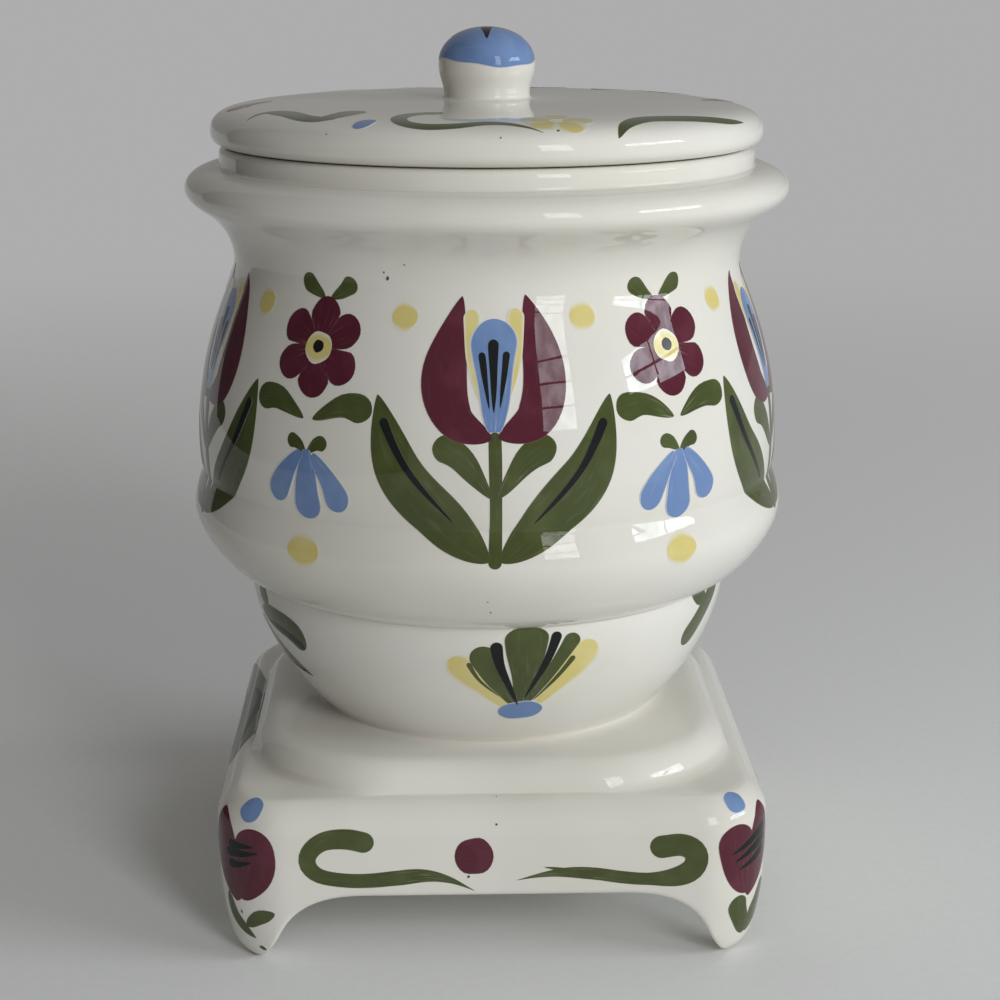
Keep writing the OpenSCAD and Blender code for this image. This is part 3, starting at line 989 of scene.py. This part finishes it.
# the lid: loose strokes round its edge, repeated behind
lidGreen = [
    ("scroll", 4.4, [(-40.5, -49), (-46, -58), (-51, -63), (-57, -58), (-63, -46), (-69, -40),
                     (-76, -45)]),
    ("scroll", 3.1, [(-14.5, -59.5), (-20, -59.2), (-25.5, -63), (-28, -70), (-26.2, -77.5), (-20, -82),
                     (-11, -82.6), (-3, -80.6), (3, -81), (9, -83.8), (14.5, -87)]),
    ("leaf", 3.2, [(37.8, -83.5), (40, -76), (46, -67), (55, -61), (66, -54.5), (74, -48.5), (80.5, -41)]),
]
lidPlum = [("comma", 3.6, [(-82, -19.5), (-78.5, -10), (-71, 0)])]
lidBlue = [("oval", 3.2, [(-40.6, -78), (-36, -70.2)])]
lidYellow = moved(ringOf(5, "oval", 5.4, 2, 11), 1, 1, 19, -76)
for name, colour, strokes, layer in (
        ("lidGreen", "leafGreen", lidGreen, 1), ("lidPlum", "plum", lidPlum, 1),
        ("lidBlue", "skyBlue", lidBlue, 1), ("lidYellow", "washYellow", lidYellow, 0)):
    paintLayer(name, colour, onEach([onLid], strokes + moved(strokes, -1, -1)), layer, "lid")
lidHoles = [
    ("oval", 0.55, [(18.4, -85.8), (19.3, -85.6)]),
    ("oval", 0.35, [(2, -90), (2.4, -90.2)]),
]
paintLayer("lidPinHoles", "pinHole", onEach([onLid], lidHoles), 2, "lid")

# the knob's blue cap ends in a wavy line
cap = {"reach": 21.4, "wave": 1.15, "ripple": 0.25, "turn": 25, "columns": 96, "rows": 16}


def makeCap():
    bm, uvLayer, tailLayer, out = newPaint()
    made = bmesh.ops.create_grid(bm, x_segments=cap["columns"], y_segments=cap["rows"], size=0.5)["verts"]
    spots = {}
    for v in made:
        angle, t = (v.co.x + 0.5) * 2 * math.pi, v.co.y + 0.5
        spots[v] = (angle, t)
        wave = cap["wave"] * math.cos(2 * (angle - math.radians(cap["turn"])))
        wave += cap["ripple"] * math.sin(7 * angle)
        away = t * (cap["reach"] + wave)
        place, normal = onKnob(away * math.sin(angle), -away * math.cos(angle))
        v.co = place + normal * (brush["lift"] - brush["thick"])
        v[out] = normal
        v[tailLayer] = 0.5
    for f in bm.faces:
        for loop in f.loops:
            angle, t = spots[loop.vert]
            loop[uvLayer].uv = (angle * 1.6 * t, max(0, 1 - (1 - t) * 8))
    bmesh.ops.remove_doubles(bm, verts=bm.verts, dist=weld / 2)
    thicken(bm, out)
    return bm


finishPiece(makeCap(), "knobCap", "lid", paint["skyBlue"], sharp=brush["sharp"])
knobTicks = ringOf(4, "comma", 1.9, 1.0, 12.4)
paintLayer("knobTicks", "lampBlack", onEach([onKnob], knobTicks), 2, "lid")
print("lid and knob painted")

# the studio: a pale floor that runs out to an even tone, and two tall windows to the right
studio = {"floor": (0.86, 0.86, 0.85, 1), "grain": (0.84, 0.84, 0.83, 1), "grainScale": 300, "matt": 0.8,
          "reach": 40, "pale": 0.42, "fadeFrom": 0.25, "fadeTo": 1.6,
          "air": (1.0, 0.985, 0.955, 1), "ambient": 0.275}
barWidth = 0.018
windows = {
    "wideWindow": {"turn": 70, "away": 2.0, "low": 0.60, "high": 1.00, "width": 1.05, "panes": (2, 2),
                   "watts": 19.5, "glow": 8.0, "colour": (0.88, 0.95, 1.0)},
    "narrowWindow": {"turn": 26, "away": 2.0, "low": 0.35, "high": 1.45, "width": 0.48, "panes": (1, 4),
                     "watts": 19.5, "glow": 5.0, "colour": (0.97, 0.985, 1.0)},
}
card = {"turn": -80, "away": 0.80, "size": 0.95, "grey": (0.10, 0.10, 0.095, 1)}


def seenDirectly(nodes):
    # 1 for the rays that show the backdrop: the camera's, and those off glass and glaze
    path = nodes.new("ShaderNodeLightPath")
    through = path.outputs["Is Transmission Ray"]
    seen = addMath("MAXIMUM", path.outputs["Is Camera Ray"], through)
    return addMath("MAXIMUM", seen, path.outputs["Is Glossy Ray"])


def stagePlane(name, bm, material):
    mesh = bpy.data.meshes.new(name)
    bm.to_mesh(mesh)
    bm.free()
    mesh.materials.append(material)
    plane = bpy.data.objects.new(name, mesh)
    bpy.context.collection.objects.link(plane)
    return plane


def makeFloor():
    material, nodes, shader = newMaterial("paleFloor")
    where = nodes.new("ShaderNodeTexCoord").outputs["Object"]
    grain = addRange(addNoise(where, studio["grainScale"], 3), 0.3, 0.7)
    colour = addMix(grain, studio["floor"], studio["grain"])
    fill(shader.inputs["Base Color"], colour)
    shader.inputs["Roughness"].default_value = studio["matt"]
    distance = nodes.new("ShaderNodeVectorMath")
    distance.operation = "LENGTH"
    fill(distance.inputs[0], where)
    far = addRange(distance.outputs["Value"], studio["fadeFrom"], studio["fadeTo"])
    glow = nodes.new("ShaderNodeEmission")
    glow.inputs["Strength"].default_value = studio["pale"]
    mix = nodes.new("ShaderNodeMixShader")
    fill(mix.inputs[0], addMath("MULTIPLY", far, seenDirectly(nodes)))
    fill(mix.inputs[1], shader.outputs[0])
    fill(mix.inputs[2], glow.outputs[0])
    fill(nodes["Material Output"].inputs["Surface"], mix.outputs[0])
    bm = bmesh.new()
    bmesh.ops.create_grid(bm, x_segments=1, y_segments=1, size=studio["reach"])
    stagePlane("floor", bm, material)


def facing(thing, turn, away, height):
    # stands something off at an angle round from the front and faces it to the jar
    angle = math.radians(turn)
    thing.location = (away * math.sin(angle), -away * math.cos(angle), height)
    aim = Vector((0, 0, height)) - Vector(thing.location)
    thing.rotation_euler = aim.to_track_quat("-Z", "Y").to_euler()


def makeWindow(name):
    w = windows[name]
    height, middle = w["high"] - w["low"], (w["high"] + w["low"]) / 2
    data = bpy.data.lights.new(name + "Light", "AREA")
    data.shape = "RECTANGLE"
    data.size, data.size_y = w["width"], height
    data.energy = w["watts"]
    data.color = w["colour"]
    light = bpy.data.objects.new(name + "Light", data)
    bpy.context.collection.objects.link(light)
    facing(light, w["turn"], w["away"], middle)
    light.visible_glossy = False
    # the panes that the glaze mirrors
    material, nodes, shader = newMaterial(name)
    glow = nodes.new("ShaderNodeEmission")
    glow.inputs["Color"].default_value = w["colour"] + (1,)
    where = nodes.new("ShaderNodeTexCoord").outputs["Object"]
    clouds = addNoise(where, 5, 3)
    patches = addRange(clouds, 0.35, 0.65, 0.55 * w["glow"], w["glow"])
    fill(glow.inputs["Strength"], patches)
    fill(nodes["Material Output"].inputs["Surface"], glow.outputs[0])
    bm = bmesh.new()
    bmesh.ops.create_grid(bm, x_segments=w["panes"][0], y_segments=w["panes"][1], size=0.5)
    bmesh.ops.scale(bm, vec=(w["width"], height, 1), verts=bm.verts)
    panes = bm.faces[:]
    bars = bmesh.ops.inset_individual(bm, faces=panes, thickness=barWidth)["faces"]
    bmesh.ops.delete(bm, geom=bars, context="FACES")
    window = stagePlane(name, bm, material)
    facing(window, w["turn"], w["away"], middle)
    window.visible_camera = False
    window.visible_diffuse = False
    window.visible_shadow = False


def makeCard():
    # a dark card, out of the camera's sight, keeps the left side deep
    material, nodes, shader = newMaterial("darkCard")
    shader.inputs["Base Color"].default_value = card["grey"]
    bm = bmesh.new()
    bmesh.ops.create_grid(bm, x_segments=1, y_segments=1, size=card["size"])
    plane = stagePlane("darkCard", bm, material)
    facing(plane, card["turn"], card["away"], card["size"])
    plane.visible_camera = False


def makeWorld():
    # an even dim room round the jar
    world = bpy.data.worlds.new("studio")
    bpy.context.scene.world = world
    world.use_nodes = True
    back = world.node_tree.nodes["Background"]
    back.inputs["Color"].default_value = studio["air"]
    back.inputs["Strength"].default_value = studio["ambient"]


makeFloor()
for windowName in windows:
    makeWindow(windowName)
makeCard()
makeWorld()
bpy.context.scene.view_settings.view_transform = "Standard"

view = {"at": (-0.01634, -0.71981, 0.3198), "down": 14.6, "turn": -1.648, "lens": 77.33, "sensor": 36}
cameraData = bpy.data.cameras.new("camera")
cameraData.lens = view["lens"]
cameraData.sensor_width = view["sensor"]
camera = bpy.data.objects.new("camera", cameraData)
camera.location = view["at"]
camera.rotation_euler = (math.radians(90 - view["down"]), 0, math.radians(view["turn"]))
bpy.context.collection.objects.link(camera)
bpy.context.scene.camera = camera
print("studio lit")
